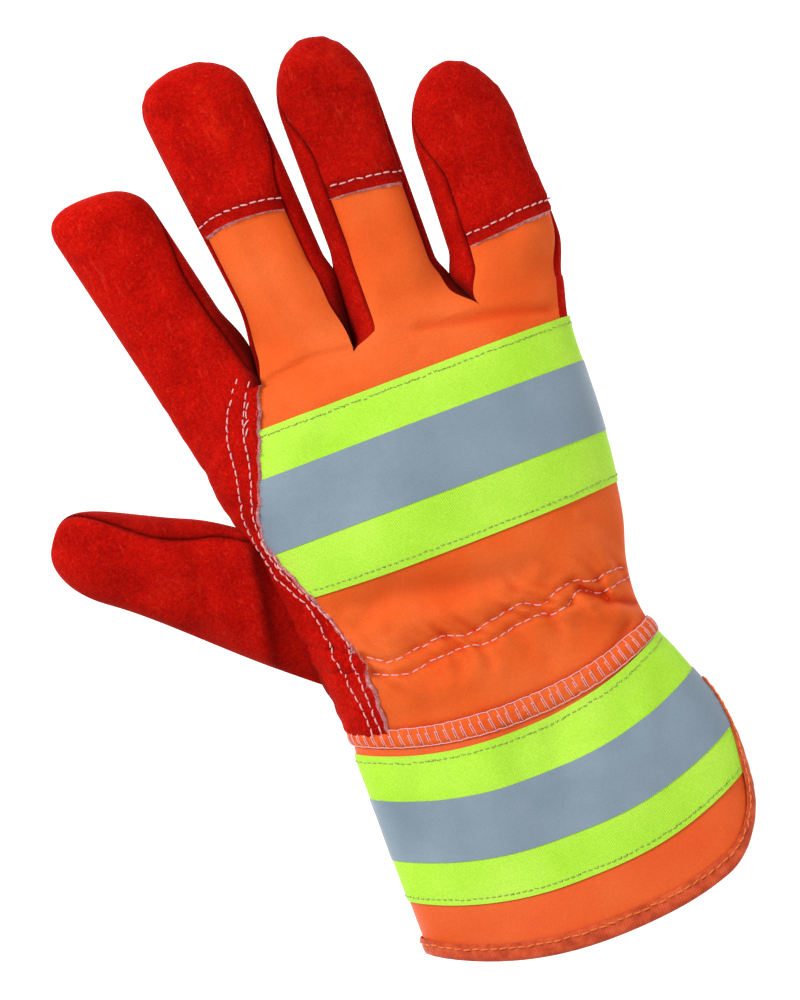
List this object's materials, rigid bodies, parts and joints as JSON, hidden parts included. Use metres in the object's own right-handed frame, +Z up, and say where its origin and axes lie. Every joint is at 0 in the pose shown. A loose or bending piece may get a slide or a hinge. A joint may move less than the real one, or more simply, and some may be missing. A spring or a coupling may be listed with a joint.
{
  "type": "work glove",
  "caption": "Hi-vis rigger work glove for the right hand: suede palm and fingers, cloth back with reflective bands, stiff open cuff; fingers, thumb and wrist bend.",
  "frame": {"origin": "on the surface the glove lies on, under the middle of the palm, at the palm's flat face", "axes": "+X towards the little finger, +Y from the cuff towards the fingertips, +Z up through the palm to the back of the hand"},
  "size_m": [0.1663, 0.2698, 0.0396],
  "materials": {
    "suede": "napped",
    "back_fabric": "plain weave",
    "cuff_cloth": "rubberised cloth",
    "hivis_tape": "twill",
    "reflective": "retroreflective",
    "binding": "woven tape",
    "thread": "overlocked thread",
    "elastic": "braided elastic",
    "lining": "brushed cotton"
  },
  "bodies": {
    "hand": {"palm_leather": "suede", "thumb_side_strip": "suede", "back_fabric": "back_fabric", "hand_hivis_tape": "hivis_tape", "hand_reflective_strip": "reflective", "wrist_elastic": "elastic", "palm_lining": "lining"},
    "index_base": {"index_base_front_leather": "suede", "index_base_back_leather": "suede"},
    "index_tip": {"index_tip_front_leather": "suede", "index_tip_back_leather": "suede"},
    "middle_base": {"middle_base_front_leather": "suede", "middle_base_back_fabric": "back_fabric"},
    "middle_tip": {"middle_tip_front_leather": "suede", "middle_tip_cap_leather": "suede"},
    "ring_base": {"ring_base_front_leather": "suede", "ring_base_back_fabric": "back_fabric"},
    "ring_tip": {"ring_tip_front_leather": "suede", "ring_tip_cap_leather": "suede"},
    "little_base": {"little_base_front_leather": "suede", "little_base_back_fabric": "back_fabric", "little_base_cap_leather": "suede"},
    "little_tip": {"little_tip_front_leather": "suede", "little_tip_cap_leather": "suede"},
    "thumb_base": {"thumb_base_front_leather": "suede", "thumb_base_back_leather": "suede"},
    "thumb_tip": {"thumb_tip_front_leather": "suede", "thumb_tip_back_leather": "suede"},
    "cuff": {"cuff_shell": "cuff_cloth", "cuff_hivis_tape": "hivis_tape", "cuff_reflective_strip": "reflective", "cuff_binding": "binding", "wrist_overlock_seam": "thread"}
  },
  "joints": [
    {"name": "index_root_bend", "type": "hinge", "parent": "hand", "child": "index_base", "pos_m": [-0.0492, 0.05, 0.011], "axis": [-1, 0, 0], "range_deg": [-8, 70]},
    {"name": "index_mid_bend", "type": "hinge", "parent": "index_base", "child": "index_tip", "pos_m": [-0.0553, 0.077, 0.011], "axis": [-1, 0, 0], "range_deg": [0, 70]},
    {"name": "middle_root_bend", "type": "hinge", "parent": "hand", "child": "middle_base", "pos_m": [-0.0178, 0.053, 0.011], "axis": [-1, 0, 0], "range_deg": [-8, 70]},
    {"name": "middle_mid_bend", "type": "hinge", "parent": "middle_base", "child": "middle_tip", "pos_m": [-0.02062, 0.085, 0.011], "axis": [-1, 0, 0], "range_deg": [0, 70]},
    {"name": "ring_root_bend", "type": "hinge", "parent": "hand", "child": "ring_base", "pos_m": [0.0105, 0.052, 0.011], "axis": [-1, 0, 0], "range_deg": [-8, 70]},
    {"name": "ring_mid_bend", "type": "hinge", "parent": "ring_base", "child": "ring_tip", "pos_m": [0.01079, 0.081, 0.011], "axis": [-1, 0, 0], "range_deg": [0, 70]},
    {"name": "little_root_bend", "type": "hinge", "parent": "hand", "child": "little_base", "pos_m": [0.0433, 0.051, 0.011], "axis": [-1, 0, 0], "range_deg": [-8, 70]},
    {"name": "little_mid_bend", "type": "hinge", "parent": "little_base", "child": "little_tip", "pos_m": [0.0438, 0.076, 0.011], "axis": [-1, 0, 0], "range_deg": [0, 70]},
    {"name": "thumb_root_bend", "type": "hinge", "parent": "hand", "child": "thumb_base", "pos_m": [-0.06, -0.0125, 0.011], "axis": [0, -1, 0], "range_deg": [-8, 45]},
    {"name": "thumb_mid_bend", "type": "hinge", "parent": "thumb_base", "child": "thumb_tip", "pos_m": [-0.0827, 0.0051, 0.011], "axis": [-0.5563, -0.831, 0], "range_deg": [0, 55]},
    {"name": "wrist_bend", "type": "hinge", "parent": "hand", "child": "cuff", "pos_m": [0, -0.0615, 0.014], "axis": [1, 0, 0], "range_deg": [-14, 14]}
  ]
}
